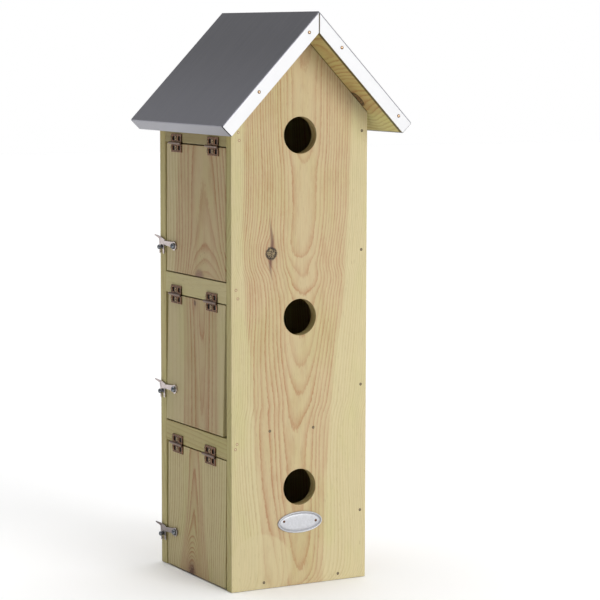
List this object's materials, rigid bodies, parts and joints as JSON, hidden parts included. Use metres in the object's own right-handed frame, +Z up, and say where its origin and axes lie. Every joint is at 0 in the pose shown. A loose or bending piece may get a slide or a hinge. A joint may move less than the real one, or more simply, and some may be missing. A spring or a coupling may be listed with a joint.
{
  "type": "sparrow terrace",
  "caption": "Tall wooden nest box for sparrows: stacked compartments, round entrances in front, hinged and latched side doors, and a pitched roof under folded sheet metal.",
  "frame": {"origin": "middle of the box's underside", "axes": "+Z up, +X to the right along the front, -Y out of the front, doors on the -X side"},
  "size_m": [0.1848, 0.1836, 0.5011],
  "materials": {
    "front_wood": "bare impregnated pine, flat sawn, with cathedral grain and a knot",
    "side_wood": "bare impregnated pine",
    "floor_wood": "bare sawn pine",
    "door_wood": "bare impregnated pine with upright grain",
    "roof_metal": "plain mill-finish sheet, folded, dull",
    "copper_pin": "copper-coloured domed heads",
    "nail_steel": "plain steel, dulled",
    "plate_metal": "cast light metal, bright raised rim",
    "hanger_steel": "galvanised",
    "screw_steel": "dark zinc plating",
    "latch_zinc": "bright zinc plating",
    "hinge_bronze": "antique bronze plating with lighter edges",
    "hinge_nail": "pale brass plating, worn"
  },
  "bodies": {
    "root": {"front_panel": "front_wood", "right_side_panel": "side_wood", "back_panel": "side_wood", "top_rail": "side_wood", "upper_rail": "side_wood", "lower_rail": "side_wood", "left_roof_board": "side_wood", "right_roof_board": "side_wood", "bottom_floor": "floor_wood", "middle_floor": "floor_wood", "upper_floor": "floor_wood", "roof_sheet": "roof_metal", "roof_pins": "copper_pin", "plate_pins": "copper_pin", "roof_board_nails": "nail_steel", "front_nails": "nail_steel", "back_nails": "nail_steel", "side_nails": "nail_steel", "oval_plate": "plate_metal", "wall_hanger": "hanger_steel", "hanger_screws": "hanger_steel", "catch_screws": "screw_steel", "bottom_frame_leaves": "hinge_bronze", "bottom_hinge_pins": "hinge_bronze", "middle_frame_leaves": "hinge_bronze", "middle_hinge_pins": "hinge_bronze", "top_frame_leaves": "hinge_bronze", "top_hinge_pins": "hinge_bronze", "frame_leaf_nails": "hinge_nail"},
    "bottom_door": {"bottom_door": "door_wood", "bottom_door_leaves": "hinge_bronze", "bottom_door_leaf_nails": "hinge_nail", "bottom_pivot_screw": "screw_steel", "bottom_washer": "latch_zinc"},
    "bottom_latch": {"bottom_latch": "latch_zinc"},
    "middle_door": {"middle_door": "door_wood", "middle_door_leaves": "hinge_bronze", "middle_door_leaf_nails": "hinge_nail", "middle_pivot_screw": "screw_steel", "middle_washer": "latch_zinc"},
    "middle_latch": {"middle_latch": "latch_zinc"},
    "top_door": {"top_door": "door_wood", "top_door_leaves": "hinge_bronze", "top_door_leaf_nails": "hinge_nail", "top_pivot_screw": "screw_steel", "top_washer": "latch_zinc"},
    "top_latch": {"top_latch": "latch_zinc"}
  },
  "joints": [
    {"name": "bottom_door_hinge", "type": "hinge", "parent": "root", "child": "bottom_door", "pos_m": [-0.0684, 0, 0.1148], "axis": [0, 1, 0], "range_deg": [0, 160]},
    {"name": "bottom_latch_pivot", "type": "hinge", "parent": "bottom_door", "child": "bottom_latch", "pos_m": [-0.0683, 0.0395, 0.033], "axis": [1, 0, 0], "range_deg": [0, 110]},
    {"name": "middle_door_hinge", "type": "hinge", "parent": "root", "child": "middle_door", "pos_m": [-0.0684, 0, 0.2503], "axis": [0, 1, 0], "range_deg": [0, 160]},
    {"name": "middle_latch_pivot", "type": "hinge", "parent": "middle_door", "child": "middle_latch", "pos_m": [-0.0683, 0.0395, 0.164], "axis": [1, 0, 0], "range_deg": [0, 110]},
    {"name": "top_door_hinge", "type": "hinge", "parent": "root", "child": "top_door", "pos_m": [-0.0684, 0, 0.3857], "axis": [0, 1, 0], "range_deg": [0, 120]},
    {"name": "top_latch_pivot", "type": "hinge", "parent": "top_door", "child": "top_latch", "pos_m": [-0.0683, 0.0395, 0.2935], "axis": [1, 0, 0], "range_deg": [0, 110]}
  ]
}
